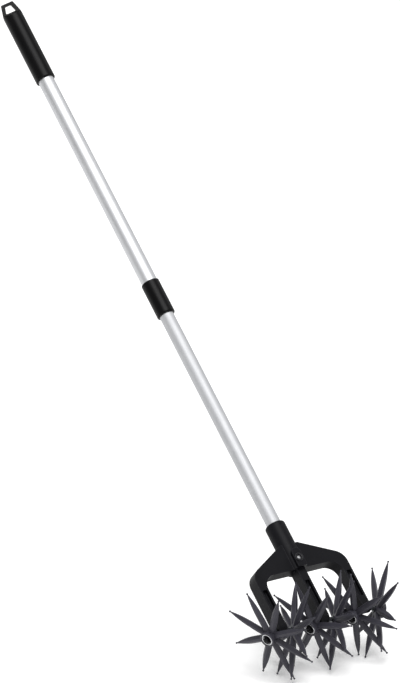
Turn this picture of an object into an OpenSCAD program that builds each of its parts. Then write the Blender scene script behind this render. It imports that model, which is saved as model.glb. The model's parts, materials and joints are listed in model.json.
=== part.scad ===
// Rotary hand cultivator: six star wheels on a three-pronged fork at the foot of a telescopic pole.
// Every piece is drawn with the pole upright on the Z axis, the row of wheels along X
// and the wheel centres at height zero. Then the whole tool leans back as it is held at work.

/* [Stance] */
// Lean of the pole from upright, in degrees
lean = 48; // [35:1:60]
// Lower tube that shows between the fork's socket and the collar when the pole is drawn out
exposed_len = 373; // [360:1:420]

/* [Pole] */
// Outer diameter of the upper tube
upper_d = 25; // [24.6:0.1:26]
// Length of the upper tube
upper_len = 556; // [520:1:600]
// Outer diameter of the lower tube
lower_d = 22; // [20:0.1:22.2]
// Length of the lower tube
lower_len = 558; // [540:1:590]
// Wall of the upper tube
upper_wall = 1.1; // [0.8:0.05:1.15]
// Wall of the lower tube
lower_wall = 1.1; // [0.8:0.05:1.5]

/* [Hand grip] */
// Diameter of the hand grip
grip_d = 31; // [28:0.5:36]
// How far the upper tube goes into the grip
grip_depth = 119; // [90:1:145]
// Solid floor over the upper tube's end
grip_floor = 4.5; // [3:0.5:12]
// Length of the taper at the top, as seen square to the tab
taper_len = 22; // [16:0.5:24]
// Rounding between the taper and the round part of the grip
taper_round = 20; // [5:1:40]
// Width of the tab at its top
tab_top_w = 20.5; // [18:0.5:23]
// Rounding of the tab's top corners
tab_round = 2; // [0.5:0.25:3]
// Length of the slope from the round grip to the flat faces
tab_slope_len = 8; // [6:0.5:10]
// Thickness of the tab
tab_t = 5.5; // [5:0.5:8]
// Turn of the tab about the pole, in degrees
tab_turn = 30; // [0:1:60]
// Material left over the hanging hole
hang_wall = 3; // [2.5:0.25:5]
// Height of the hanging hole
hang_h = 15; // [10:0.5:18]
// Width of the hanging hole at its top
hang_top_w = 9; // [7:0.25:10]
// Width of the hanging hole at its bottom
hang_low_w = 17; // [13:0.25:18]
// Rounding of the hanging hole's corners
hang_round = 1.6; // [0.5:0.1:2.5]
// Material between the hanging hole and the slope
tab_foot = 2; // [1:0.25:4]
// Bevel at the grip's lower end
grip_bevel = 1.5; // [0.5:0.25:2.5]

/* [Lock collar] */
// Diameter of the collar
collar_d = 28.4; // [27.6:0.1:32]
// Length of the collar
collar_len = 59; // [40:1:80]
// Thickness of the lip that the upper tube stands on
collar_lip = 8; // [5:0.5:12]
// Rounding of the collar's lower end
collar_round = 2.8; // [1:0.1:2.9]

/* [Twist lock] */
// Length of the lock plug inside the lower tube
plug_len = 24; // [15:1:40]
// Thickness of the plug's flange
plug_flange = 2; // [1:0.25:4]
// Diameter of the lock stud
stud_d = 8; // [6:0.5:9]
// Depth of the stud in the plug
stud_grip = 18; // [10:1:20]
// Length of the expanding sleeve
sleeve_len = 30; // [24:1:40]
// Solid foot of the expanding sleeve
sleeve_foot = 8; // [5:0.5:10]
// Radius at the foot of the sleeve's taper
taper_r0 = 6; // [5.5:0.1:7]
// Radius at the mouth of the sleeve's taper
taper_r1 = 9.4; // [8.5:0.1:9.8]
// How far the lock cone sits in the sleeve
cone_seat = 18; // [12:0.5:21]
// How far the lock cone stands out of the sleeve
cone_proud = 5; // [3:0.5:8]
// Width of the sleeve's slots
slot_w = 1.6; // [1:0.1:2.5]
// Travel of the cone from locked to free
cone_travel = 1.5; // [1:0.1:3]

/* [Fork] */
// Distance between neighbouring prongs
prong_pitch = 75; // [70:1:90]
// Width of a prong
prong_w = 14; // [12:0.5:16]
// Thickness of the fork, front to back
fork_t = 20; // [16:0.5:24]
// Height of the crossbar's lower edge over the axles
prong_reach = 78; // [74:1:95]
// Height of the fork's body in the middle, over the crossbar's lower edge
body_h = 41.5; // [38:0.5:55]
// Slope of the shoulders, in degrees
shoulder_slope = 27; // [18:0.5:29]
// Rounding of the outer shoulders
shoulder_r = 22; // [15:1:30]
// Rounding of the inner corners over the outer prongs
inner_r = 20; // [10:1:26]
// Rib left on each side of a prong's pocket
pocket_rib = 2.8; // [2:0.1:4]
// Depth of a prong's pocket, on the front and on the back
pocket_depth = 6.5; // [3:0.25:7]
// Distance from the crossbar's lower edge down to a pocket
pocket_drop = 20; // [12:1:30]
// Distance from the axle up to a pocket
pocket_lift = 14; // [13:1:25]

/* [Socket] */
// Outer diameter of the socket
socket_d = 31; // [29:0.5:38]
// Depth of the socket
socket_depth = 75; // [70:1:100]
// Floor under the lower tube
socket_floor = 5; // [3:0.5:8]
// Rounding of the socket's rim
rim_r = 3.5; // [1:0.25:4]
// Width of the raised pad round the screw
pad_w = 15.5; // [12:0.5:18]
// Height of the pad over the crossbar's lower edge
pad_h = 30; // [24:0.5:34]
// How far the pad stands out from the pole's axis
pad_reach = 18.5; // [17:0.25:20]
// Diameter of the dimple below the socket's rim
dimple_d = 4; // [3:0.25:6]

/* [Head screw] */
// Diameter of the screw's shank
screw_d = 4; // [3:0.25:5]
// Diameter of the screw's head
screw_head_d = 7; // [6:0.25:8]
// Height of the screw's head
screw_head_h = 2.2; // [1.5:0.1:3]
// Length of the screw under its head
screw_len = 8; // [7:0.5:9]
// Height of the screw over the crossbar's lower edge
screw_h = 14; // [11:0.5:18]

/* [Axles] */
// Diameter of the bent axles
axle_d = 6; // [5:0.25:7]
// Droop of the stubs on each side of a prong, in degrees
droop = 24.2; // [22:0.1:26]
// Diameter of the upset collar that the hub runs against
shoulder_d = 10; // [8.5:0.25:12]
// Thickness of the upset collar
shoulder_t = 1.5; // [1:0.1:2.5]
// Axle left past the clip
axle_tail = 1.4; // [0.5:0.1:2]

/* [Tine wheels] */
// Distance between the two star planes on a prong, measured along the row
pair_w = 40; // [38:0.5:44]
// Spikes on a wheel
tine_count = 8; // [8]
// Radius of a wheel at the ends of its spikes
tine_r = 73; // [68:0.1:75]
// Width of a spike where it is widest
tine_w = 11; // [8:0.1:11.4]
// Thickness of a spike at its ridge, where it is widest
tine_t = 7; // [5:0.1:9]
// Radius at which a spike is widest
tine_belly = 33; // [28:0.5:36]
// Diameter of the thin neck under the ball
neck_d = 1.6; // [1:0.1:2.4]
// Diameter of the ball on the end
ball_d = 3; // [2.5:0.1:4]
// Diameter of the hub
hub_d = 20; // [18:0.5:24]
// Hub on the inner side of the star plane
hub_in = 4; // [3.5:0.25:5]
// Hub on the outer side of the star plane
hub_out = 10.5; // [8:0.25:12]
// Diameter of the recess in the hub's outer end
recess_d = 15; // [14:0.25:16]
// Depth of the recess
recess_depth = 5; // [4:0.25:6]

/* [Washers and clips] */
// Diameter of the end washers
washer_d = 13; // [11:0.25:13.5]
// Thickness of the end washers
washer_t = 0.8; // [0.5:0.1:1.2]
// Diameter of the push-on clips
clip_d = 14; // [12:0.25:14.2]
// Thickness of the push-on clips
clip_t = 0.8; // [0.5:0.1:1.2]
// Height of the raised rim round a clip
clip_rim_h = 3; // [1.5:0.25:3.2]
// Thickness of the raised rim
clip_rim_t = 1.2; // [0.8:0.1:1.6]

/* [Clearances] */
// Radial gap of parts that are pressed or moulded in
seat_gap = 0.03; // [0.01:0.01:0.05]
// Radial gap of a hub on its axle and of the sleeve in the upper tube
run_gap = 0.08; // [0.03:0.01:0.1]
// Gap between faces that turn or slide past each other
face_gap = 0.3; // [0.2:0.05:0.5]

/* [Hidden] */
$fn = 64;
eps = 0.01;
big = 400;

// How far each wheel is turned on its stub, from the left. Neighbours stay part of a pitch out of step,
// so that their spikes pass between each other where the wheels cross.
wheel_turn = [18.5, 30, 9, 20.5, 35.4, 2.2];

black = "#1d1d1f";
charcoal = "#4a494e";
silver = "#c9cbcd";
zinc = "#b4b7b8";
nylon = "#d8d6cf";

// Heights along the pole, from the wheel centres up
stub_len = pair_w / 2 / cos(droop);
axle_z = pair_w / 2 * tan(droop);
cross_z = axle_z + prong_reach;
screw_z = cross_z + screw_h;
foot_z = cross_z + socket_floor;
mouth_z = foot_z + socket_depth;
collar_z = mouth_z + exposed_len;
upper_z = collar_z + collar_lip;
grip_z = upper_z + upper_len - grip_depth;
tab_z = grip_z + grip_depth + grip_floor + tab_slope_len;
grip_top_z = tab_z + tab_foot + hang_h + hang_wall;
lower_top_z = foot_z + lower_len;
sleeve_z = lower_top_z + plug_flange + face_gap;
sleeve_top_z = sleeve_z + sleeve_len;
taper_z = sleeve_z + sleeve_foot;
cone_z = sleeve_top_z - cone_seat;
cone_top_z = sleeve_top_z + cone_proud;
stud_head_h = 4;
stud_head_z = cone_top_z + cone_travel + face_gap;

// Radii
upper_r = upper_d / 2;
upper_ir = upper_r - upper_wall;
lower_r = lower_d / 2;
lower_ir = lower_r - lower_wall;
taper_rate = (taper_r1 - taper_r0) / (sleeve_top_z - taper_z);
pad_front = -pad_reach;
screw_seat_y = pad_front + screw_head_h + face_gap;

// The round part of the grip ends where the rounding of the taper starts. The middle of it is the hold.
grip_r = grip_d / 2;
taper_angle = atan((grip_r - tab_top_w / 2) / taper_len);
round_top_z = grip_top_z - taper_len - taper_round * tan(taper_angle / 2);
hold_z = (grip_z + grip_bevel + round_top_z) / 2;

// Places along a stub, outward from the bend in the prong
hub_in_z = stub_len - hub_in;
hub_out_z = stub_len + hub_out;
washer_z = hub_out_z - recess_depth + face_gap;
clip_z = washer_z + washer_t;
axle_end = clip_z + clip_t + axle_tail;

// A spike is the overlap of two leaf-shaped plates, crossed at an angle that gives its width and thickness.
// Each leaf narrows from its belly to the neck, faster toward the end, in a few straight steps.
ball_at = tine_r - ball_d / 2;
leaf_cross = atan(tine_w / tine_t);
leaf_half = tine_w / 2 * cos(leaf_cross);
leaf_root = hub_d / 2 - 3;
leaf_power = 2;
leaf_rate = (leaf_half - neck_d / 2 * cos(leaf_cross)) / pow(ball_at - ball_d / 2 - tine_belly, leaf_power);
leaf_steps = 7;

function leaf_x(i) = leaf_root + (ball_at - leaf_root) * i / leaf_steps;
function leaf_y(x) = leaf_half - leaf_rate * pow(abs(x - tine_belly), leaf_power);

// A rounded corner at b on the way from a to c, in short straight steps
function unit(v) = v / norm(v);
function rounded(a, b, c, r, steps = 4) =
    let (u = unit(a - b), v = unit(c - b), half = acos(u * v) / 2,
        centre = b + unit(u + v) * r / sin(half),
        from = b + u * r / tan(half) - centre, to = b + v * r / tan(half) - centre,
        start = atan2(from.y, from.x), turn = (atan2(to.y, to.x) - start + 540) % 360 - 180)
    [for (i = [0:steps]) centre + r * [cos(start + turn * i / steps), sin(start + turn * i / steps)]];

// The whole tool, leaned back about the middle of the hand grip
module posed() {
    rotate([-lean, 0, 0])
        translate([0, 0, -hold_z])
            children();
}

module tube(r, wall, z, len) {
    translate([0, 0, z])
        difference() {
            cylinder(r = r, h = len);
            translate([0, 0, -eps]) cylinder(r = r - wall, h = len + 2 * eps);
        }
}

// A child drawn along +Z, carried to one stub: side -1 is to the left of the prong, 1 to the right
module on_stub(prong, side) {
    translate([prong * prong_pitch, 0, axle_z])
        rotate([0, side * (90 + droop), 0])
            children();
}

module on_every_stub() {
    for (prong = [-1:1], side = [-1, 1])
        on_stub(prong, side)
            children();
}

// Turned profile of the grip, with its bevel and its tapered top
module grip_profile() {
    bevel_end = [grip_r, grip_z + grip_bevel];
    shoulder = [grip_r, grip_top_z - taper_len];
    corner = [tab_top_w / 2, grip_top_z];
    top = [0, grip_top_z];
    polygon(concat([[0, grip_z], [grip_r - grip_bevel, grip_z], bevel_end],
        rounded(bevel_end, shoulder, corner, taper_round),
        rounded(shoulder, corner, top, tab_round),
        [top]));
}

// A child extruded square to the tab's faces, with its Y direction up the pole
module through_tab(len) {
    rotate([90, 0, -tab_turn])
        linear_extrude(height = len, center = true)
            children();
}

// What is cut away in front of and behind the tab, seen along the tab's width
module tab_cut() {
    r = grip_r + 1;
    over = tab_slope_len * (r - tab_t / 2) / (grip_r - tab_t / 2);
    for (face = [-1, 1])
        rotate([90, 0, 90 - tab_turn])
            linear_extrude(height = 2 * grip_d, center = true)
                scale([face, 1])
                    polygon([[tab_t / 2, tab_z], [r, tab_z - over], [r, grip_top_z + 1],
                        [tab_t / 2, grip_top_z + 1]]);
}

// Hanging hole, narrower at its top, with rounded corners
module hang_hole() {
    top = grip_top_z - hang_wall;
    low = top - hang_h;
    corners = [[-hang_low_w / 2, low], [hang_low_w / 2, low], [hang_top_w / 2, top], [-hang_top_w / 2, top]];
    polygon([for (i = [0:3])
        each rounded(corners[(i + 3) % 4], corners[i], corners[(i + 1) % 4], hang_round)]);
}

module hand_grip() {
    color(black)
        difference() {
            rotate_extrude() grip_profile();
            tab_cut();
            through_tab(grip_d) hang_hole();
            translate([0, 0, grip_z - eps])
                cylinder(r = upper_r + seat_gap, h = grip_depth + eps);
        }
}

module upper_tube() {
    color(silver) tube(upper_r, upper_wall, upper_z, upper_len);
}

module lock_collar() {
    round_r = min(collar_round, collar_d / 2 - lower_r - face_gap);
    color(black)
        difference() {
            union() {
                translate([0, 0, collar_z + round_r])
                    cylinder(d = collar_d, h = collar_len - round_r);
                translate([0, 0, collar_z])
                    cylinder(d = collar_d - 2 * round_r, h = round_r + eps);
                translate([0, 0, collar_z + round_r])
                    rotate_extrude()
                        translate([collar_d / 2 - round_r, 0])
                            intersection() {
                                circle(r = round_r);
                                translate([0, -round_r]) square(round_r);
                            }
            }
            translate([0, 0, collar_z - eps])
                cylinder(r = lower_r + face_gap, h = collar_lip + 2 * eps);
            translate([0, 0, upper_z])
                cylinder(r = upper_r + seat_gap, h = collar_len);
        }
}

module lock_sleeve() {
    color(nylon)
        difference() {
            translate([0, 0, sleeve_z])
                cylinder(r = upper_ir - run_gap, h = sleeve_len);
            translate([0, 0, sleeve_z - eps])
                cylinder(r = stud_d / 2 + run_gap, h = sleeve_len);
            translate([0, 0, taper_z])
                cylinder(r1 = taper_r0, r2 = taper_r1, h = sleeve_top_z - taper_z);
            translate([0, 0, sleeve_top_z - eps])
                cylinder(r = taper_r1, h = 1);
            for (a = [0, 90])
                rotate([0, 0, a])
                    translate([-big / 2, -slot_w / 2, taper_z + slot_w])
                        cube([big, slot_w, sleeve_len]);
        }
}

module lock_cone() {
    cone_gap = 0.12;
    low_r = taper_r0 + taper_rate * (cone_z - taper_z) - cone_gap;
    top_r = low_r + taper_rate * (cone_top_z - cone_z);
    color(zinc)
        difference() {
            translate([0, 0, cone_z])
                cylinder(r1 = low_r, r2 = top_r, h = cone_top_z - cone_z);
            translate([0, 0, cone_z - eps])
                cylinder(r = stud_d / 2 + run_gap, h = cone_top_z - cone_z + 2 * eps);
        }
}

module lock_stud() {
    head_d = stud_d * 1.6;
    color(zinc) {
        translate([0, 0, lower_top_z + plug_flange - stud_grip])
            cylinder(d = stud_d, h = stud_head_z - lower_top_z - plug_flange + stud_grip + eps);
        translate([0, 0, stud_head_z])
            cylinder(d = head_d, h = stud_head_h, $fn = 6);
    }
}

module lock_plug() {
    color(nylon)
        difference() {
            union() {
                translate([0, 0, lower_top_z - plug_len])
                    cylinder(r = lower_ir - seat_gap, h = plug_len + eps);
                translate([0, 0, lower_top_z])
                    cylinder(r = lower_r - face_gap, h = plug_flange);
            }
            translate([0, 0, lower_top_z + plug_flange - stud_grip])
                cylinder(r = stud_d / 2 + seat_gap, h = stud_grip + eps);
        }
}

module lower_tube() {
    color(silver)
        difference() {
            tube(lower_r, lower_wall, foot_z, lower_len);
            translate([0, 0, screw_z])
                rotate([90, 0, 0])
                    cylinder(d = screw_d + face_gap, h = lower_d);
        }
}

// Front outline of the fork's body over the prongs, without the two side windows
module body_outline() {
    arm_x = prong_pitch + prong_w / 2;
    peak_x = socket_d / 2;
    corner_z = cross_z + body_h - (arm_x - peak_x) * tan(shoulder_slope);
    tangent = shoulder_r * tan((90 - shoulder_slope) / 2);
    round_z = corner_z - tangent;
    slope_x = arm_x - tangent * cos(shoulder_slope);
    slope_z = corner_z + tangent * sin(shoulder_slope);
    for (side = [-1, 1])
        scale([side, 1]) {
            polygon([[0, axle_z], [arm_x, axle_z], [arm_x, round_z], [arm_x - shoulder_r, round_z],
                [slope_x, slope_z], [peak_x, cross_z + body_h], [0, cross_z + body_h]]);
            translate([arm_x - shoulder_r, round_z]) circle(r = shoulder_r);
        }
}

// Window between the middle prong and one outer prong, open at the bottom
module window_outline() {
    near_x = prong_w / 2;
    far_x = prong_pitch - prong_w / 2;
    translate([near_x, -big]) square([far_x - inner_r - near_x, big + cross_z]);
    translate([near_x, -big]) square([far_x - near_x, big + cross_z - inner_r]);
    translate([far_x - inner_r, cross_z - inner_r]) circle(r = inner_r);
}

// A prong's rounded foot, about its axle
module prong_foot(prong) {
    translate([prong * prong_pitch, 0, axle_z])
        rotate([0, 90, 0])
            cylinder(d = fork_t, h = prong_w, center = true);
}

// Pockets in a prong's front and back, which leave a web between two ribs
module prong_pockets(prong) {
    w = prong_w - 2 * pocket_rib;
    low = axle_z + pocket_lift;
    high = cross_z - pocket_drop;
    for (face = [-1, 1])
        translate([prong * prong_pitch - w / 2, face * fork_t / 2 - pocket_depth, low])
            cube([w, 2 * pocket_depth, high - low]);
}

module socket_outside() {
    r = socket_d / 2;
    translate([0, 0, cross_z])
        cylinder(r = r, h = mouth_z - rim_r - cross_z);
    translate([0, 0, mouth_z - rim_r - eps])
        cylinder(r = r - rim_r, h = rim_r + eps);
    translate([0, 0, mouth_z - rim_r])
        rotate_extrude()
            translate([r - rim_r, 0])
                intersection() {
                    circle(r = rim_r);
                    square(rim_r);
                }
}

// Raised pad with a round top, which carries the head screw
module screw_pad() {
    arch_z = cross_z + pad_h - pad_w / 2;
    translate([-pad_w / 2, pad_front, cross_z])
        cube([pad_w, pad_reach, arch_z - cross_z]);
    translate([0, pad_front, arch_z])
        rotate([-90, 0, 0])
            cylinder(d = pad_w, h = pad_reach);
}

module screw_holes() {
    translate([0, pad_front - eps, screw_z])
        rotate([-90, 0, 0])
            cylinder(d = screw_head_d + 2 * face_gap, h = screw_seat_y - pad_front + eps);
    translate([0, pad_front, screw_z])
        rotate([-90, 0, 0])
            cylinder(r = screw_d / 2 + seat_gap, h = pad_reach);
}

module fork() {
    dimple_depth = 1;
    color(black)
        difference() {
            union() {
                rotate([90, 0, 0])
                    linear_extrude(height = fork_t, center = true)
                        difference() {
                            body_outline();
                            for (side = [-1, 1])
                                scale([side, 1]) window_outline();
                        }
                for (prong = [-1:1])
                    prong_foot(prong);
                socket_outside();
                screw_pad();
            }
            translate([0, 0, foot_z])
                cylinder(r = lower_r + seat_gap, h = socket_depth + 1);
            screw_holes();
            for (prong = [-1:1]) {
                prong_pockets(prong);
                for (side = [-1, 1])
                    on_stub(prong, side)
                        cylinder(r = axle_d / 2 + seat_gap, h = prong_w);
                translate([prong * prong_pitch, 0, axle_z])
                    sphere(r = axle_d / 2 + seat_gap);
            }
            translate([0, -socket_d / 2, mouth_z - rim_r - dimple_d])
                rotate([-90, 0, 0])
                    cylinder(d = dimple_d, h = 2 * dimple_depth, center = true);
        }
}

module head_screw() {
    cross_w = 1;
    cross_l = screw_head_d * 0.6;
    cross_depth = 1.2;
    color(zinc)
        translate([0, screw_seat_y, screw_z])
            rotate([90, 0, 0])
                difference() {
                    union() {
                        cylinder(d = screw_head_d, h = screw_head_h / 2);
                        translate([0, 0, screw_head_h / 2 - eps])
                            cylinder(d1 = screw_head_d, d2 = screw_head_d * 0.6, h = screw_head_h / 2);
                        translate([0, 0, -screw_len])
                            cylinder(d = screw_d, h = screw_len + eps);
                    }
                    for (a = [0, 90])
                        rotate([0, 0, a])
                            translate([-cross_l / 2, -cross_w / 2, screw_head_h - cross_depth])
                                cube([cross_l, cross_w, 2 * cross_depth]);
                }
}

// One bent rod through a prong, with an upset collar and a stub on each side
module axle(prong) {
    color(zinc) {
        for (side = [-1, 1])
            on_stub(prong, side) {
                cylinder(d = axle_d, h = axle_end);
                translate([0, 0, hub_in_z - face_gap - shoulder_t])
                    cylinder(d = shoulder_d, h = shoulder_t);
            }
        translate([prong * prong_pitch, 0, axle_z])
            sphere(d = axle_d);
    }
}

// Leaf outline along +X, from inside the hub to inside the ball
module tine_leaf() {
    upper = [for (i = [0:leaf_steps]) [leaf_x(i), leaf_y(leaf_x(i))]];
    lower = [for (i = [leaf_steps:-1:0]) [leaf_x(i), -leaf_y(leaf_x(i))]];
    polygon(concat(upper, lower));
}

// One spike along +X: a ridged blade with arched edges, a thin neck and a ball on its end
module tine() {
    intersection() {
        rotate([leaf_cross, 0, 0]) linear_extrude(height = 2 * tine_w, center = true) tine_leaf();
        rotate([-leaf_cross, 0, 0]) linear_extrude(height = 2 * tine_w, center = true) tine_leaf();
    }
    translate([ball_at, 0, 0])
        sphere(d = ball_d);
}

// Hub about +Z, with the star plane at height zero and the outer end up
module hub() {
    lip = 0.8;
    r = hub_d / 2;
    rotate_extrude()
        polygon([[0, -hub_in], [r - 2 * lip, -hub_in], [r, -hub_in + 2 * lip],
            [r, hub_out - lip], [r - lip, hub_out], [0, hub_out]]);
}

module tine_wheel(i) {
    prong = floor((i - 1) / 2) - 1;
    side = i % 2 == 1 ? -1 : 1;
    color(charcoal)
        on_stub(prong, side)
            translate([0, 0, stub_len])
                difference() {
                    union() {
                        hub();
                        for (k = [0:tine_count - 1])
                            rotate([0, 0, -side * wheel_turn[i - 1] + k * 360 / tine_count])
                                tine();
                    }
                    translate([0, 0, -hub_in - 1])
                        cylinder(r = axle_d / 2 + run_gap, h = hub_in + hub_out + 2);
                    translate([0, 0, hub_out - recess_depth])
                        cylinder(d = recess_d, h = recess_depth + 1);
                }
}

module end_washers() {
    color(zinc)
        on_every_stub()
            translate([0, 0, washer_z])
                difference() {
                    cylinder(d = washer_d, h = washer_t);
                    translate([0, 0, -eps])
                        cylinder(r = axle_d / 2 + run_gap, h = washer_t + 2 * eps);
                }
}

// Push-on clips: a cup with a raised rim, and spring teeth on the axle parted by slots
module axle_clips() {
    slot_count = 6;
    slot = 1;
    floor_r = clip_d / 2 - clip_rim_t;
    rim = 1.4;
    color(zinc)
        on_every_stub()
            translate([0, 0, clip_z])
                difference() {
                    cylinder(d = clip_d, h = clip_rim_h);
                    translate([0, 0, clip_t])
                        cylinder(r = floor_r, h = clip_rim_h);
                    translate([0, 0, -eps])
                        cylinder(r = axle_d / 2 + seat_gap, h = clip_rim_h);
                    for (k = [0:slot_count - 1])
                        rotate([0, 0, k * 360 / slot_count])
                            translate([0, -slot / 2, -eps])
                                cube([floor_r - rim, slot, clip_t + 2 * eps]);
                }
}

posed() hand_grip();
posed() upper_tube();
posed() lock_collar();
posed() lock_sleeve();
posed() lock_cone();
posed() lock_stud();
posed() lock_plug();
posed() lower_tube();
posed() fork();
posed() head_screw();
posed() axle(-1);  // axle_left
posed() axle(0);  // axle_centre
posed() axle(1);  // axle_right
for (i = [1:6])
    posed() tine_wheel(i);
posed() end_washers();
posed() axle_clips();
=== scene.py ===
import json
import math

import bmesh
import bpy
from mathutils import Euler, Matrix, Vector


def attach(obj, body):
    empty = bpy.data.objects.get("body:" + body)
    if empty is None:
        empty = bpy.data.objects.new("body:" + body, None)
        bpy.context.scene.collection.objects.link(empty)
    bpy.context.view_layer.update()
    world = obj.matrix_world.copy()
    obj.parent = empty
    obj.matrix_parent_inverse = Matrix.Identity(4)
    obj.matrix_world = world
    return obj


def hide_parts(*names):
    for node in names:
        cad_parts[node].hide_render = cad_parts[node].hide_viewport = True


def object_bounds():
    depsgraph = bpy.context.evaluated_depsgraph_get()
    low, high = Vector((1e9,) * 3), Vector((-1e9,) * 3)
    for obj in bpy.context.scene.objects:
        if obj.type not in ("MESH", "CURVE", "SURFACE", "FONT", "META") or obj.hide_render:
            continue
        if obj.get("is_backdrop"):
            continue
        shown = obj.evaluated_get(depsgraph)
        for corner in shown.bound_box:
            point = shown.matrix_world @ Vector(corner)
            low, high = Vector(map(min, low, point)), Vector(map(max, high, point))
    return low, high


bl_info = {
    "name": "Rotary hand cultivator",
    "version": (1, 0, 0),
    "blender": (4, 5, 0),
    "location": "3D View > Sidebar > Cultivator",
    "description": "Dresses a rotary hand cultivator in its finishes and sets it on a studio floor",
    "category": "Object",
}

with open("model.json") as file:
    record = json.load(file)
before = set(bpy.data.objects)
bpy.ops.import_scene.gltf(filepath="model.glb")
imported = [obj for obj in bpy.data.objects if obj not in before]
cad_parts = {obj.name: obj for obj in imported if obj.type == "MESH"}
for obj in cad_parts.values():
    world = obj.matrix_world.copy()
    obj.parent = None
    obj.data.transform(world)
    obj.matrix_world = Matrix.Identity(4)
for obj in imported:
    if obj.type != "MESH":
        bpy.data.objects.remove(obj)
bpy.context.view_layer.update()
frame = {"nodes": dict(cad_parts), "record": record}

MM = 0.001

GRIP = ["hand_grip"]
COLLAR = ["lock_collar"]
UPPER_TUBE = ["upper_tube"]
LOWER_TUBE = ["lower_tube"]
FORK = ["fork"]
WHEELS = [f"tine_wheel_{i}" for i in range(1, 7)]
AXLES = ["axle_left", "axle_centre", "axle_right", "end_washers", "lock_stud", "lock_cone"]
CLIPS = ["axle_clips"]
SCREW = ["head_screw"]
LOCK = ["lock_sleeve", "lock_plug"]

# The pole leans back, so these two run along it and square to it
POLE_LEAN = math.radians(48)
POLE_UP = Vector((0, math.sin(POLE_LEAN), math.cos(POLE_LEAN)))
POLE_BACK = Vector((0, math.cos(POLE_LEAN), -math.sin(POLE_LEAN)))

# Star wheels: the turn of each on its stub in degrees, then sizes in millimetres along and across a spike
WHEEL_TURN = (18.5, 30, 9, 20.5, 35.4, 2.2)
SPIKES = 8
SPIKE_ROOT, SPIKE_BELLY, SPIKE_NECK = 7, 33, 70
# Radii at which a spike's section is set
SPIKE_STATIONS = (SPIKE_ROOT, 11, 15, 19, 23, 28, SPIKE_BELLY, 38, 43, 48, 53, 58, 62, 66, 69, SPIKE_NECK)
SPIKE_HALF_WIDTH = 5.5
ROOT_HALF_DEPTH, BELLY_HALF_DEPTH, ROOT_BULGE = 3.6, 4.4, 2.4
NECK_HALF = 0.8
BALL_AT, BALL_R = 71.5, 1.5
# The ball starts this share of half a turn round from its inner end, where the neck runs into it
BALL_START, BALL_STEPS = 0.18, 8
# Shares of a spike's half width and half depth that its flat face and its blunt edge take
FLAT_SHARE, EDGE_SHARE = 0.3, 0.12

# Hubs and clips, in millimetres from the stub's axis, and outward along it from the star's centre
BORE_R = 3.08
HUB_IN, HUB_WAIST, HUB_OUT = -4, 3, 10.5
HUB_FOOT_R, HUB_CHAMFER, HUB_R, HUB_END_R = 8.4, 1.6, 10.3, 11.6
RECESS_R, RECESS_FLOOR = 9.4, 5.5
CLIP_FOOT, CLIP_FLOOR, CLIP_TOP = 6.6, 7.4, 9.9
CLIP_HOLE_R, CLIP_IN_R, CLIP_OUT_R = 3.03, 7.2, 9.0
CLIP_CHAMFER, CLIP_FILLET, ROLL_STEPS = 0.4, 0.3, 8
CAP_R, CAP_TOP, CAP_ROOM = 4.4, 13.2, 11.2
CAP_ROUND, CAP_STEPS = 1.3, 6
DISH_R, DISH_DEEP = 2.4, 0.4
SLOTS, SLOT_AT, SLOT_SIZE = 6, 5.1, (2.2, 1.0, 1.2)
# Faces of a clip whose middle lies nearer to its axis than this are dark
DARK_R = CLIP_IN_R - 0.2

# The moulded ring round the head screw, in millimetres from the screw's axis and out of the pad's face
BOSS_IN_R, BOSS_OUT_R, BOSS_SUNK, BOSS_H = 3.85, 6.8, 0.3, 1.4
SCREW_SUNK = 0.3

# Softened corners of the turned pieces, as (radius, height) steps from the sharp corner
HUB_RIM = ((0, -1.6), (0, -0.8), (-0.3, -0.2), (-0.8, 0))
RECESS_RIM = ((0.6, 0), (0.2, -0.15), (0, -0.6))
BOSS_RIM = ((0, -0.9), (-0.25, -0.35), (-0.8, 0))
BOSS_LIP = ((0.5, 0), (0.1, -0.15), (0, -0.5))

# Steps round a turned piece, the angles over which an edge stays crisp, and the distance in millimetres
# within which points become one
TURNED_STEPS = 64
TURNED_CREASE = math.radians(30)
STAR_CREASE = math.radians(24)
MERGE = 0.002

# Directions that the lights come from, with the fill's distance and width in metres
KEY_FROM = (-0.14, -0.32, 0.94)
FILL_FROM = (0.86, 0.07, 0.5)
FILL_AWAY, FILL_SIZE = 3.0, 2.0

# The camera's frame in millimetres, and how far it sees in metres
FILM_WIDTH = 36.0
VIEW_END = 200.0


def linear(hex_colour):
    """An sRGB hex colour as linear red, green and blue."""
    parts = [int(hex_colour[i:i + 2], 16) / 255 for i in (1, 3, 5)]
    return tuple(c / 12.92 if c <= 0.04045 else ((c + 0.055) / 1.055) ** 2.4 for c in parts)


def rgba(colour):
    """A linear colour with full alpha."""
    return (*colour, 1.0)


def shade(colour, by):
    """A colour made lighter or darker by a factor."""
    return tuple(min(1.0, c * by) for c in colour)


def swatch(name, description, hex_colour):
    """A colour that a user can change."""
    return bpy.props.FloatVectorProperty(
        name=name, description=description, default=linear(hex_colour),
        size=3, min=0, max=1, subtype="COLOR")


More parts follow.
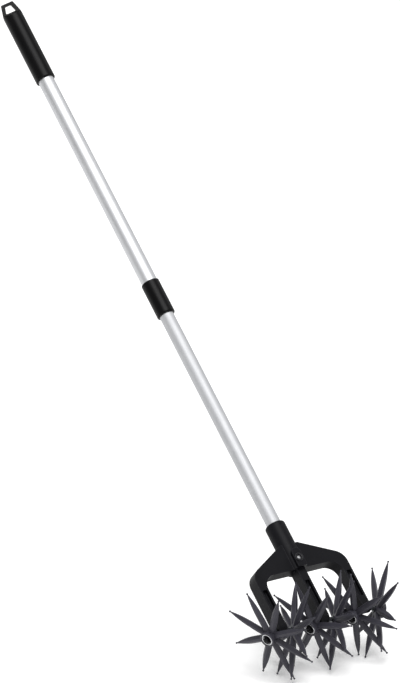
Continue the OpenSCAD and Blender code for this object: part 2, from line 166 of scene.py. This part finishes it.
class CultivatorFinish(bpy.types.PropertyGroup):
    """Colours and grain sizes of the cultivator's finishes"""

    grip_black: swatch("Grip", "Colour of the hand grip and the lock collar", "#09090a")
    fork_black: swatch("Fork", "Colour of the moulded fork", "#131316")
    wheel_charcoal: swatch("Wheels", "Colour of the star wheels", "#35343c")
    upper_silver: swatch("Upper tube", "Colour of the bright anodised upper tube", "#d9dadc")
    lower_silver: swatch("Lower tube", "Colour of the satin anodised lower tube", "#d0d1d3")
    axle_zinc: swatch("Axles", "Colour of the dull zinc plated axles and washers", "#4b4d51")
    screw_zinc: swatch("Screw", "Colour of the bright zinc plated head screw", "#e6e7e8")
    clip_rim: swatch("Clip rims", "Colour of the bright zinc plated rims of the clips", "#d8d9db")
    clip_phosphate: swatch("Clip teeth", "Colour of the phosphated teeth and caps of the clips", "#1b1b1d")
    clip_rubbed: swatch("Clip edges", "Colour of the steel where the edge of a tooth or cap is rubbed",
                        "#6d6e70")
    lock_nylon: swatch("Lock", "Colour of the nylon lock parts inside the pole", "#dedbd0")
    mould_grain: bpy.props.FloatProperty(
        name="Mould grain", description="Spacing of the fine grain on the moulded plastic",
        default=0.9 * MM, min=0.1 * MM, max=5 * MM, unit="LENGTH")
    draw_line: bpy.props.FloatProperty(
        name="Draw line", description="Spacing of the lengthwise lines on the drawn tubes",
        default=0.7 * MM, min=0.1 * MM, max=5 * MM, unit="LENGTH")
    edge_round: bpy.props.FloatProperty(
        name="Edge rounding", description="Radius of the softened edges on the moulded plastic",
        default=1.2 * MM, min=0, max=4 * MM, unit="LENGTH")


class CultivatorStage(bpy.types.PropertyGroup):
    """Floor, light and viewpoint"""

    floor_pale: swatch("Floor", "Colour of the studio floor", "#fafafa")
    floor_size: bpy.props.FloatProperty(
        name="Floor size", description="Length of the floor's sides",
        default=60.0, min=5, max=200, unit="LENGTH")
    floor_glow: bpy.props.FloatProperty(
        name="Floor glow", description="Light that comes through the paper from below, as on a light table",
        default=0.14, min=0, max=5)
    sky: bpy.props.FloatProperty(
        name="Sky", description="Strength of the even light from all round",
        default=0.35, min=0, max=5)
    key: bpy.props.FloatProperty(
        name="Key light", description="Strength of the wide overhead light, in watts a square metre",
        default=2.9, min=0, max=50)
    key_width: bpy.props.FloatProperty(
        name="Key width", description="Angle that the overhead light fills, as the tool sees it",
        default=math.radians(45), min=0, max=math.pi, subtype="ANGLE")
    fill: bpy.props.FloatProperty(
        name="Fill light", description="Power of the soft box on the right",
        default=9.0, min=0, max=5000, unit="POWER")
    view_turn: bpy.props.FloatProperty(
        name="View turn", description="Turn of the camera round the tool from the front",
        default=math.radians(-35.06), subtype="ANGLE")
    view_rise: bpy.props.FloatProperty(
        name="View rise", description="Rise of the camera over the horizon",
        default=math.radians(16.7), subtype="ANGLE")
    view_roll: bpy.props.FloatProperty(
        name="View roll", description="Roll of the camera about its line of sight",
        default=math.radians(0.33), subtype="ANGLE")
    view_distance: bpy.props.FloatProperty(
        name="View distance", description="Distance from the camera to the point it looks at",
        default=5.0, min=0.5, max=50, unit="LENGTH")
    view_aim: bpy.props.FloatVectorProperty(
        name="View aim", description="Point that the camera looks at",
        default=(-0.0815, -0.5816, -0.3168), size=3, subtype="XYZ", unit="LENGTH")
    view_lens: bpy.props.FloatProperty(
        name="Lens", description="Focal length in millimetres on a 36 mm frame",
        default=183.8, min=10, max=500)


def add(tree, kind, inputs=None, **settings):
    """Adds a node to a tree, with its settings and with values or links on its inputs."""
    node = tree.nodes.new(kind)
    for key, value in settings.items():
        setattr(node, key, value)
    for key, value in (inputs or {}).items():
        if isinstance(value, bpy.types.NodeSocket):
            tree.links.new(value, node.inputs[key])
        else:
            node.inputs[key].default_value = value
    return node


def new_material(name):
    """An empty node material with its surface shader."""
    material = bpy.data.materials.new(name)
    material.use_nodes = True
    tree = material.node_tree
    tree.nodes.clear()
    shader = add(tree, "ShaderNodeBsdfPrincipled")
    add(tree, "ShaderNodeOutputMaterial", {"Surface": shader.outputs["BSDF"]})
    return material, tree, shader


def ramp(tree, factor, stops):
    """A colour ramp through (position, linear colour) stops."""
    node = add(tree, "ShaderNodeValToRGB", {"Fac": factor})
    elements = node.color_ramp.elements
    while len(elements) > len(stops):
        elements.remove(elements[-1])
    while len(elements) < len(stops):
        elements.new(1.0)
    for element, (position, colour) in zip(elements, stops):
        element.position = position
        element.color = rgba(colour)
    return node


def pole_coordinates(tree):
    """Coordinates turned so that Z runs along the leaning pole, in metres."""
    place = add(tree, "ShaderNodeTexCoord")
    return add(tree, "ShaderNodeMapping", {"Vector": place.outputs["Object"], "Rotation": (POLE_LEAN, 0, 0)})


def rounded_edges(tree, radius, full):
    """The surface's normal with its edges rounded to a radius, and a share that marks each edge: rubbed wear
    on steel, and on plastic paler edges that are partly wear and partly a painted highlight. The share grows
    with the angle between the rounded and the true surface, and is full where that angle's cosine falls to a
    value."""
    soft = add(tree, "ShaderNodeBevel", {"Radius": radius}, samples=6)
    flat = add(tree, "ShaderNodeNewGeometry")
    angle = add(tree, "ShaderNodeVectorMath",
                {0: soft.outputs["Normal"], 1: flat.outputs["Normal"]}, operation="DOT_PRODUCT")
    edge_amount = add(tree, "ShaderNodeMapRange",
               {"Value": angle.outputs["Value"], "From Min": 0.995, "From Max": full,
                "To Min": 0.0, "To Max": 1.0})
    return soft.outputs["Normal"], edge_amount.outputs["Result"]


def moulded_plastic(name, colour, grain, edge, roughness, gloss, edge_wear_and_highlight):
    """Injection moulded polypropylene or nylon. Spark-eroded moulds leave a fine grain that scatters
    the highlight, melt flow leaves cloudy tone a few centimetres across, and the rounded edges are
    painted paler, partly as handling wear and partly as a painted highlight along them."""
    material, tree, shader = new_material(name)
    place = pole_coordinates(tree).outputs["Vector"]
    flow_size = 26 * MM
    flow = add(tree, "ShaderNodeTexNoise",
               {"Vector": place, "Scale": 1 / flow_size, "Detail": 3.0, "Roughness": 0.55})
    grain_noise = add(tree, "ShaderNodeTexNoise",
                      {"Vector": place, "Scale": 1 / grain, "Detail": 2.0, "Roughness": 0.6})
    tone = ramp(tree, flow.outputs["Fac"], [(0.25, shade(colour, 0.86)), (0.75, shade(colour, 1.16))])
    soft_normal, edge_amount = rounded_edges(tree, edge, full=0.8)
    # Paler rounded edges: partly handling wear, partly a painted highlight where light catches each edge
    patchy_wear_and_highlight = add(tree, "ShaderNodeMath", {0: edge_amount, 1: flow.outputs["Fac"]}, operation="MULTIPLY")
    surface = add(tree, "ShaderNodeMix",
                  {"Factor": patchy_wear_and_highlight.outputs["Value"], "A": tone.outputs["Color"],
                   "B": rgba(shade(colour, edge_wear_and_highlight))}, data_type="RGBA")
    gloss_noise = add(tree, "ShaderNodeMapRange",
                      {"Value": grain_noise.outputs["Fac"], "From Min": 0.3, "From Max": 0.7,
                       "To Min": roughness - 0.05, "To Max": roughness + 0.07})
    bump = add(tree, "ShaderNodeBump",
               {"Height": grain_noise.outputs["Fac"], "Strength": 0.12, "Distance": 0.15 * MM,
                "Normal": soft_normal})
    tree.links.new(surface.outputs["Result"], shader.inputs["Base Color"])
    tree.links.new(gloss_noise.outputs["Result"], shader.inputs["Roughness"])
    tree.links.new(bump.outputs["Normal"], shader.inputs["Normal"])
    shader.inputs["IOR"].default_value = 1.49
    shader.inputs["Specular IOR Level"].default_value = gloss
    return material


def anodised_aluminium(name, colour, line, roughness):
    """Drawn aluminium tube, etched and clear anodised: a pale satin metal, whose fine lengthwise lines
    from the drawing die pull the highlight into long soft bands. The oxide layer greys the metal where
    it is seen at a low angle."""
    material, tree, shader = new_material(name)
    place = pole_coordinates(tree).outputs["Vector"]
    line_length = 90 * MM
    stretched = add(tree, "ShaderNodeMapping",
                    {"Vector": place, "Scale": (1 / line, 1 / line, 1 / line_length)})
    lines = add(tree, "ShaderNodeTexNoise",
                {"Vector": stretched.outputs["Vector"], "Scale": 1.0, "Detail": 3.0, "Roughness": 0.6})
    etch_size = 14 * MM
    etch = add(tree, "ShaderNodeTexNoise",
               {"Vector": place, "Scale": 1 / etch_size, "Detail": 2.0, "Roughness": 0.5})
    tone = ramp(tree, lines.outputs["Fac"], [(0.3, shade(colour, 0.93)), (0.7, shade(colour, 1.02))])
    clouds = ramp(tree, etch.outputs["Fac"], [(0.3, (0.96, 0.96, 0.965)), (0.7, (1.0, 1.0, 1.0))])
    surface = add(tree, "ShaderNodeMix",
                  {"Factor": 1.0, "A": tone.outputs["Color"], "B": clouds.outputs["Color"]},
                  data_type="RGBA", blend_type="MULTIPLY")
    satin = add(tree, "ShaderNodeMapRange",
                {"Value": lines.outputs["Fac"], "From Min": 0.3, "From Max": 0.7,
                 "To Min": roughness - 0.05, "To Max": roughness + 0.07})
    bump = add(tree, "ShaderNodeBump",
               {"Height": lines.outputs["Fac"], "Strength": 0.1, "Distance": 0.05 * MM})
    tree.links.new(surface.outputs["Result"], shader.inputs["Base Color"])
    tree.links.new(satin.outputs["Result"], shader.inputs["Roughness"])
    tree.links.new(bump.outputs["Normal"], shader.inputs["Normal"])
    shader.inputs["Metallic"].default_value = 1.0
    shader.inputs["Specular Tint"].default_value = (0.72, 0.72, 0.73, 1.0)
    return material


def zinc_plated_steel(name, colour):
    """Cold drawn steel with bright zinc plating: a slightly blue grey metal with dull and bright
    blotches where the plating passivated unevenly."""
    material, tree, shader = new_material(name)
    place = pole_coordinates(tree).outputs["Vector"]
    blotch_size = 4 * MM
    blotch = add(tree, "ShaderNodeTexNoise",
                 {"Vector": place, "Scale": 1 / blotch_size, "Detail": 4.0, "Roughness": 0.6})
    tone = ramp(tree, blotch.outputs["Fac"], [(0.3, shade(colour, 0.8)), (0.7, shade(colour, 1.08))])
    dull = add(tree, "ShaderNodeMapRange",
               {"Value": blotch.outputs["Fac"], "From Min": 0.3, "From Max": 0.7,
                "To Min": 0.42, "To Max": 0.28})
    bump = add(tree, "ShaderNodeBump",
               {"Height": blotch.outputs["Fac"], "Strength": 0.08, "Distance": 0.05 * MM})
    tree.links.new(tone.outputs["Color"], shader.inputs["Base Color"])
    tree.links.new(dull.outputs["Result"], shader.inputs["Roughness"])
    tree.links.new(bump.outputs["Normal"], shader.inputs["Normal"])
    shader.inputs["Metallic"].default_value = 1.0
    return material


def phosphated_steel(name, colour, bare, edge):
    """Stamped spring steel with a black phosphate coat: a dark matt grey with a fine crystal grain, and
    bare bright metal on the edges, where the coat rubs off as the clip is pushed on."""
    material, tree, shader = new_material(name)
    place = pole_coordinates(tree).outputs["Vector"]
    crystal_size = 0.6 * MM
    crystal = add(tree, "ShaderNodeTexNoise",
                  {"Vector": place, "Scale": 1 / crystal_size, "Detail": 3.0, "Roughness": 0.6})
    tone = ramp(tree, crystal.outputs["Fac"], [(0.3, shade(colour, 0.8)), (0.7, shade(colour, 1.2))])
    soft_normal, rubbed = rounded_edges(tree, edge, full=0.9)
    surface = add(tree, "ShaderNodeMix",
                  {"Factor": rubbed, "A": tone.outputs["Color"], "B": rgba(bare)}, data_type="RGBA")
    dull = add(tree, "ShaderNodeMapRange",
               {"Value": rubbed, "From Min": 0.0, "From Max": 1.0, "To Min": 0.6, "To Max": 0.3})
    tree.links.new(surface.outputs["Result"], shader.inputs["Base Color"])
    tree.links.new(dull.outputs["Result"], shader.inputs["Roughness"])
    tree.links.new(soft_normal, shader.inputs["Normal"])
    shader.inputs["Metallic"].default_value = 1.0
    return material


def dress(nodes, material):
    """Gives CAD pieces one finish."""
    for name in nodes:
        piece = frame["nodes"][name]
        piece.data.materials.clear()
        piece.data.materials.append(material)


def soft_corner(r, z, steps):
    """Points of a turned outline round a softened corner at (r, z)."""
    return [(r + across, z + along) for across, along in steps]


def arc(r, z, radius, turn, steps):
    """Points of a turned outline on an arc about (r, z), from its outer side through a turn."""
    angles = [turn * i / steps for i in range(steps + 1)]
    return [(r + radius * math.cos(a), z + radius * math.sin(a)) for a in angles]


def turned(outline):
    """A closed (radius, height) outline turned about Z into one closed mesh. A point on the axis stays
    one point."""
    build = bmesh.new()
    on_axis = {j: build.verts.new((0, 0, z)) for j, (r, z) in enumerate(outline) if r == 0}
    rings = []
    for i in range(TURNED_STEPS):
        a = 2 * math.pi * i / TURNED_STEPS
        rings.append([on_axis.get(j) or build.verts.new((r * math.cos(a), r * math.sin(a), z))
                      for j, (r, z) in enumerate(outline)])
    for i in range(TURNED_STEPS):
        here, there = rings[i], rings[(i + 1) % TURNED_STEPS]
        for j in range(len(outline)):
            k = (j + 1) % len(outline)
            corners = list(dict.fromkeys((here[j], there[j], there[k], here[k])))
            if len(corners) > 2:
                build.faces.new(corners)
    return build


def spike_section(r):
    """Half width, half depth and roundness of a spike at a radius. From its belly out it narrows to the neck
    as the solid does, and inward it keeps its width and runs into its neighbours at the hub."""
    if r <= SPIKE_BELLY:
        t = (r - SPIKE_ROOT) / (SPIKE_BELLY - SPIKE_ROOT)
        depth = ROOT_HALF_DEPTH + (BELLY_HALF_DEPTH - ROOT_HALF_DEPTH) * t + ROOT_BULGE * t * (1 - t)
        return SPIKE_HALF_WIDTH, depth, 0.0
    t = (r - SPIKE_BELLY) / (SPIKE_NECK - SPIKE_BELLY)
    full = 1 - t * t
    return (NECK_HALF + (SPIKE_HALF_WIDTH - NECK_HALF) * full,
            NECK_HALF + (BELLY_HALF_DEPTH - NECK_HALF) * full, t ** 3)


def spike():
    """One spike along X: a faceted blade with a flat on each face, a thin neck and a ball on its end."""
    flat, edge = FLAT_SHARE, EDGE_SHARE
    facets = [(1, edge), (flat, 1), (-flat, 1), (-1, edge),
              (-1, -edge), (-flat, -1), (flat, -1), (1, -edge)]
    around = []
    for i, (y, z) in enumerate(facets):
        y2, z2 = facets[(i + 1) % len(facets)]
        around += [(y, z), ((y + y2) / 2, (z + z2) / 2)]
    count = len(around)
    sections = [(r, *spike_section(r)) for r in SPIKE_STATIONS]
    for i in range(1, BALL_STEPS):
        a = math.pi * (BALL_START + (1 - BALL_START) * i / BALL_STEPS)
        size = BALL_R * math.sin(a)
        sections.append((BALL_AT - BALL_R * math.cos(a), size, size, 1.0))
    build = bmesh.new()
    rings = []
    for r, width, depth, roundness in sections:
        ring = []
        for i, (y, z) in enumerate(around):
            # The first corner lies just over the spike's edge, so the round section starts half a step round
            a = 2 * math.pi * (i + 0.5) / count
            ring.append(build.verts.new((r, width * (y + (math.cos(a) - y) * roundness),
                                         depth * (z + (math.sin(a) - z) * roundness))))
        rings.append(ring)
    for here, there in zip(rings, rings[1:]):
        for i in range(count):
            k = (i + 1) % count
            build.faces.new((here[i], here[k], there[k], there[i]))
    build.faces.new(list(reversed(rings[0])))
    end = build.verts.new((BALL_AT + BALL_R, 0, 0))
    for i in range(count):
        build.faces.new((rings[-1][i], rings[-1][(i + 1) % count], end))
    return build


def as_object(build, name):
    """A finished bmesh as an object in the scene, with its faces turned outward."""
    bmesh.ops.recalc_face_normals(build, faces=build.faces)
    mesh = bpy.data.meshes.new(name)
    build.to_mesh(mesh)
    build.free()
    piece = bpy.data.objects.new(name, mesh)
    bpy.context.scene.collection.objects.link(piece)
    return piece


def joined(base, tools, operation):
    """The base cut by or joined with the tools, as one mesh. The objects themselves are cleared away."""
    for tool in tools:
        change = base.modifiers.new(tool.name, "BOOLEAN")
        change.operation = operation
        change.solver = "EXACT"
        change.object = tool
    bpy.context.view_layer.update()
    mesh = bpy.data.meshes.new_from_object(base.evaluated_get(bpy.context.evaluated_depsgraph_get()))
    for piece in [base, *tools]:
        old = piece.data
        bpy.data.objects.remove(piece)
        bpy.data.meshes.remove(old)
    build = bmesh.new()
    build.from_mesh(mesh)
    bmesh.ops.remove_doubles(build, verts=build.verts, dist=MERGE)
    bmesh.ops.dissolve_degenerate(build, edges=build.edges, dist=MERGE)
    build.to_mesh(mesh)
    build.free()
    return mesh


def sharpened(mesh, angle):
    """Smooth faces, with every edge sharper than the angle kept crisp."""
    mesh.polygons.foreach_set("use_smooth", [True] * len(mesh.polygons))
    mesh.set_sharp_from_angle(angle=angle)
    mesh.update()


def stub_places():
    """For each wheel, the side of its prong that it is on, and the place of the star's centre, with Z outward
    along the stub and Y square to the row."""
    joints = {joint["name"]: joint for joint in frame["record"]["behaviour"]["joints"]}
    places = []
    for i in range(len(WHEELS)):
        joint = joints[f"wheel_{i + 1}_spin"]
        side = -1 if i % 2 == 0 else 1
        out = side * Vector(joint["axis"]).normalized()
        turn = Matrix((POLE_BACK.cross(out), POLE_BACK, out)).transposed().to_4x4()
        places.append((side, Matrix.Translation(joint["pos_m"]) @ turn @ Matrix.Scale(MM, 4)))
    return places


def screw_place():
    """The place where the head screw's axis meets the pad's face, with Z out of the pad."""
    points = [vertex.co for vertex in frame["nodes"][SCREW[0]].data.vertices]
    heights = [point.dot(POLE_UP) for point in points]
    front = min(point.dot(POLE_BACK) for point in points) - SCREW_SUNK * MM
    centre = POLE_BACK * front + POLE_UP * (min(heights) + max(heights)) / 2
    turn = Matrix(((1, 0, 0), POLE_UP, -POLE_BACK)).transposed().to_4x4()
    return Matrix.Translation(centre) @ turn @ Matrix.Scale(MM, 4)


class CULTIVATOR_OT_grip(bpy.types.Operator):
    """Finishes the hand grip and the lock collar"""

    bl_idname = "cultivator.grip"
    bl_label = "Grip and collar"

    def execute(self, context):
        look = context.scene.cultivator_finish
        material = moulded_plastic("moulded_polypropylene_black", tuple(look.grip_black), look.mould_grain,
                                   look.edge_round, roughness=0.37, gloss=0.115, edge_wear_and_highlight=2.2)
        dress(GRIP + COLLAR, material)
        return {"FINISHED"}


class CULTIVATOR_OT_tubes(bpy.types.Operator):
    """Finishes the two tubes of the pole"""

    bl_idname = "cultivator.tubes"
    bl_label = "Tubes"

    def execute(self, context):
        look = context.scene.cultivator_finish
        dress(UPPER_TUBE, anodised_aluminium("anodised_aluminium_bright", tuple(look.upper_silver),
                                             look.draw_line, roughness=0.56))
        dress(LOWER_TUBE, anodised_aluminium("anodised_aluminium_satin", tuple(look.lower_silver),
                                             look.draw_line, roughness=0.68))
        return {"FINISHED"}


class CULTIVATOR_OT_fork(bpy.types.Operator):
    """Finishes the fork, and makes the moulded ring that stands round its screw"""

    bl_idname = "cultivator.fork"
    bl_label = "Fork"

    def execute(self, context):
        look = context.scene.cultivator_finish
        dress(FORK, moulded_plastic("moulded_nylon_black", tuple(look.fork_black), look.mould_grain,
                                    look.edge_round, roughness=0.46, gloss=0.095, edge_wear_and_highlight=7.0))
        ring = as_object(turned([
            (BOSS_IN_R, -BOSS_SUNK), (BOSS_OUT_R, -BOSS_SUNK),
            *soft_corner(BOSS_OUT_R, BOSS_H, BOSS_RIM),
            *soft_corner(BOSS_IN_R, BOSS_H, BOSS_LIP)]), "screw_boss")
        ring.data.transform(screw_place())
        sharpened(ring.data, TURNED_CREASE)
        # The ring's rounded edges are painted much paler than the fork: a painted highlight round the screw
        ring.data.materials.append(moulded_plastic(
            "moulded_nylon_black_painted_edge_highlight", tuple(look.fork_black), look.mould_grain, look.edge_round * 0.6,
            roughness=0.4, gloss=0.3, edge_wear_and_highlight=18.0))
        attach(ring, "lower_pole")
        return {"FINISHED"}


class CULTIVATOR_OT_wheels(bpy.types.Operator):
    """Makes and finishes the six star wheels, with full spike roots and a rolled rim on each hub"""

    bl_idname = "cultivator.wheels"
    bl_label = "Star wheels"

    def execute(self, context):
        look = context.scene.cultivator_finish
        material = moulded_plastic("moulded_nylon_charcoal", tuple(look.wheel_charcoal), look.mould_grain,
                                   look.edge_round * 0.5, roughness=0.44, gloss=0.3, edge_wear_and_highlight=3.6)
        hub = as_object(turned([
            (BORE_R, HUB_IN), (HUB_FOOT_R, HUB_IN), (HUB_FOOT_R + HUB_CHAMFER, HUB_IN + HUB_CHAMFER),
            (HUB_R, HUB_WAIST), *soft_corner(HUB_END_R, HUB_OUT, HUB_RIM),
            *soft_corner(RECESS_R, HUB_OUT, RECESS_RIM),
            (RECESS_R, RECESS_FLOOR), (BORE_R, RECESS_FLOOR)]), "hub")
        spikes = []
        for k in range(SPIKES):
            piece = as_object(spike(), f"spike_{k}")
            piece.data.transform(Matrix.Rotation(2 * math.pi * k / SPIKES, 4, "Z"))
            spikes.append(piece)
        star = joined(hub, spikes, "UNION")
        for i, (side, place) in enumerate(stub_places()):
            mesh = star.copy()
            mesh.transform(place @ Matrix.Rotation(-side * math.radians(WHEEL_TURN[i]), 4, "Z"))
            sharpened(mesh, STAR_CREASE)
            mesh.materials.append(material)
            piece = bpy.data.objects.new(f"star_wheel_{i + 1}", mesh)
            context.scene.collection.objects.link(piece)
            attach(piece, f"wheel_{i + 1}")
            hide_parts(WHEELS[i])
        bpy.data.meshes.remove(star)
        return {"FINISHED"}


class CULTIVATOR_OT_clips(bpy.types.Operator):
    """Makes and finishes the six push-on clips: bright cups with rolled rims, dark teeth and dark caps"""

    bl_idname = "cultivator.clips"
    bl_label = "Axle clips"

    def execute(self, context):
        look = context.scene.cultivator_finish
        rim = zinc_plated_steel("zinc_plated_steel_rim", tuple(look.clip_rim))
        teeth = phosphated_steel("phosphated_spring_steel", tuple(look.clip_phosphate),
                                 tuple(look.clip_rubbed), look.edge_round * 0.25)
        roll = (CLIP_OUT_R - CLIP_IN_R) / 2
        cup = as_object(turned([
            (CLIP_HOLE_R, CLIP_FOOT), (CLIP_OUT_R - CLIP_CHAMFER, CLIP_FOOT),
            (CLIP_OUT_R, CLIP_FOOT + CLIP_CHAMFER),
            *arc((CLIP_IN_R + CLIP_OUT_R) / 2, CLIP_TOP - roll, roll, math.pi, ROLL_STEPS),
            (CLIP_IN_R, CLIP_FLOOR + CLIP_FILLET), (CLIP_IN_R - CLIP_FILLET, CLIP_FLOOR),
            (CAP_R + CLIP_FILLET, CLIP_FLOOR), (CAP_R, CLIP_FLOOR + CLIP_FILLET),
            *arc(CAP_R - CAP_ROUND, CAP_TOP - CAP_ROUND, CAP_ROUND, math.pi / 2, CAP_STEPS),
            (DISH_R, CAP_TOP), (DISH_R - DISH_DEEP, CAP_TOP - DISH_DEEP), (0, CAP_TOP - DISH_DEEP),
            (0, CAP_ROOM), (CLIP_HOLE_R, CAP_ROOM)]), "cup")
        slots = []
        for k in range(SLOTS):
            build = bmesh.new()
            bmesh.ops.create_cube(build, size=1.0, matrix=Matrix.Rotation(2 * math.pi * k / SLOTS, 4, "Z")
                                  @ Matrix.Translation((SLOT_AT, 0, (CLIP_FOOT + CLIP_FLOOR) / 2))
                                  @ Matrix.Diagonal((*SLOT_SIZE, 1.0)))
            slots.append(as_object(build, f"slot_{k}"))
        clip = joined(cup, slots, "DIFFERENCE")
        build = bmesh.new()
        for _, place in stub_places():
            start = len(build.verts)
            build.from_mesh(clip)
            build.verts.ensure_lookup_table()
            bmesh.ops.transform(build, matrix=place, verts=build.verts[start:])
        mesh = bpy.data.meshes.new("retaining_clips")
        build.to_mesh(mesh)
        build.free()
        mesh.materials.append(rim)
        mesh.materials.append(teeth)
        for polygon in mesh.polygons:
            like = clip.polygons[polygon.index % len(clip.polygons)]
            polygon.material_index = int(like.center.xy.length < DARK_R)
        sharpened(mesh, TURNED_CREASE)
        bpy.data.meshes.remove(clip)
        piece = bpy.data.objects.new("retaining_clips", mesh)
        context.scene.collection.objects.link(piece)
        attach(piece, "lower_pole")
        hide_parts(*CLIPS)
        return {"FINISHED"}


class CULTIVATOR_OT_steel(bpy.types.Operator):
    """Finishes the axles, washers, screw and the lock's stud and cone"""

    bl_idname = "cultivator.steel"
    bl_label = "Steel parts"

    def execute(self, context):
        look = context.scene.cultivator_finish
        dress(AXLES, zinc_plated_steel("zinc_plated_steel_dull", tuple(look.axle_zinc)))
        dress(SCREW, zinc_plated_steel("zinc_plated_steel_bright", tuple(look.screw_zinc)))
        return {"FINISHED"}


class CULTIVATOR_OT_lock(bpy.types.Operator):
    """Finishes the nylon parts of the twist lock inside the pole"""

    bl_idname = "cultivator.lock"
    bl_label = "Lock parts"

    def execute(self, context):
        look = context.scene.cultivator_finish
        material = moulded_plastic("moulded_nylon_natural", tuple(look.lock_nylon), look.mould_grain,
                                   look.edge_round * 0.4, roughness=0.45, gloss=0.5, edge_wear_and_highlight=1.05)
        dress(LOCK, material)
        return {"FINISHED"}


def studio_paper(pale, glow):
    """Matt seamless paper, with a mottle that is only just there, lit a little from below."""
    material, tree, shader = new_material("studio_paper_matt")
    place = add(tree, "ShaderNodeTexCoord")
    mottle_size = 40 * MM
    mottle = add(tree, "ShaderNodeTexNoise",
                 {"Vector": place.outputs["Object"], "Scale": 1 / mottle_size, "Detail": 2.0})
    tone = ramp(tree, mottle.outputs["Fac"], [(0.3, shade(pale, 0.99)), (0.7, pale)])
    tree.links.new(tone.outputs["Color"], shader.inputs["Base Color"])
    shader.inputs["Roughness"].default_value = 0.9
    shader.inputs["Specular IOR Level"].default_value = 0.1
    shader.inputs["Emission Color"].default_value = (1, 1, 1, 1)
    shader.inputs["Emission Strength"].default_value = glow
    return material


class CULTIVATOR_OT_stage(bpy.types.Operator):
    """Makes the floor, the light and the camera"""

    bl_idname = "cultivator.stage"
    bl_label = "Stage"

    def execute(self, context):
        scene = context.scene
        stage = scene.cultivator_stage
        low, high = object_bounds()
        middle = [(a + b) / 2 for a, b in zip(low, high)]

        half = stage.floor_size / 2
        mesh = bpy.data.meshes.new("studio_floor")
        corners = [(middle[0] + x * half, middle[1] + y * half, low[2])
                   for x, y in ((-1, -1), (1, -1), (1, 1), (-1, 1))]
        mesh.from_pydata(corners, [], [(0, 1, 2, 3)])
        mesh.materials.append(studio_paper(tuple(stage.floor_pale), stage.floor_glow))
        floor = bpy.data.objects.new("studio_floor", mesh)
        scene.collection.objects.link(floor)
        floor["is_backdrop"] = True

        world = bpy.data.worlds.new("studio_surround")
        scene.world = world
        world.use_nodes = True
        world.node_tree.nodes.clear()
        even = add(world.node_tree, "ShaderNodeBackground", {"Color": (1, 1, 1, 1), "Strength": stage.sky})
        add(world.node_tree, "ShaderNodeOutputWorld", {"Surface": even.outputs["Background"]})

        # The overhead light stands where the pole mirrors it to the camera, just right of the tubes' middle
        data = bpy.data.lights.new("overhead_key", "SUN")
        data.energy = stage.key
        data.angle = stage.key_width
        key = bpy.data.objects.new("overhead_key", data)
        key.rotation_euler = Vector(KEY_FROM).to_track_quat("Z", "Y").to_euler()
        scene.collection.objects.link(key)

        data = bpy.data.lights.new("fill_soft_box", "AREA")
        data.shape = "SQUARE"
        data.size = FILL_SIZE
        data.energy = stage.fill
        fill = bpy.data.objects.new("fill_soft_box", data)
        fill.location = Vector(middle) + FILL_AWAY * Vector(FILL_FROM)
        fill.rotation_euler = Vector(FILL_FROM).to_track_quat("Z", "Y").to_euler()
        scene.collection.objects.link(fill)

        data = bpy.data.cameras.new("photo_camera")
        data.lens = stage.view_lens
        data.sensor_width = FILM_WIDTH
        data.clip_end = VIEW_END
        camera = bpy.data.objects.new("photo_camera", data)
        scene.collection.objects.link(camera)
        turn = Euler((math.pi / 2 - stage.view_rise, 0, stage.view_turn)).to_matrix().to_4x4()
        turn = turn @ Matrix.Rotation(stage.view_roll, 4, "Z")
        back = turn @ Vector((0, 0, stage.view_distance))
        camera.matrix_world = Matrix.Translation(Vector(stage.view_aim) + back) @ turn
        scene.camera = camera
        scene.view_settings.view_transform = "Standard"
        return {"FINISHED"}


OPERATORS = [CULTIVATOR_OT_grip, CULTIVATOR_OT_tubes, CULTIVATOR_OT_fork, CULTIVATOR_OT_wheels,
             CULTIVATOR_OT_clips, CULTIVATOR_OT_steel, CULTIVATOR_OT_lock, CULTIVATOR_OT_stage]


class CULTIVATOR_PT_panel(bpy.types.Panel):
    """Lists the steps that dress the cultivator"""

    bl_label = "Cultivator"
    bl_idname = "CULTIVATOR_PT_panel"
    bl_space_type = "VIEW_3D"
    bl_region_type = "UI"
    bl_category = "Cultivator"

    def draw(self, context):
        layout = self.layout
        for operator in OPERATORS:
            layout.operator(operator.bl_idname)
        for group in (context.scene.cultivator_finish, context.scene.cultivator_stage):
            box = layout.box()
            for name in group.__annotations__:
                box.prop(group, name)


CLASSES = [CultivatorFinish, CultivatorStage, *OPERATORS, CULTIVATOR_PT_panel]


def register():
    for cls in CLASSES:
        bpy.utils.register_class(cls)
    bpy.types.Scene.cultivator_finish = bpy.props.PointerProperty(type=CultivatorFinish)
    bpy.types.Scene.cultivator_stage = bpy.props.PointerProperty(type=CultivatorStage)


def unregister():
    del bpy.types.Scene.cultivator_stage
    del bpy.types.Scene.cultivator_finish
    for cls in reversed(CLASSES):
        bpy.utils.unregister_class(cls)


def main():
    register()
    bpy.ops.cultivator.grip()
    bpy.ops.cultivator.tubes()
    bpy.ops.cultivator.fork()
    bpy.ops.cultivator.wheels()
    bpy.ops.cultivator.clips()
    bpy.ops.cultivator.steel()
    bpy.ops.cultivator.lock()
    bpy.ops.cultivator.stage()


if __name__ == "__main__":
    main()
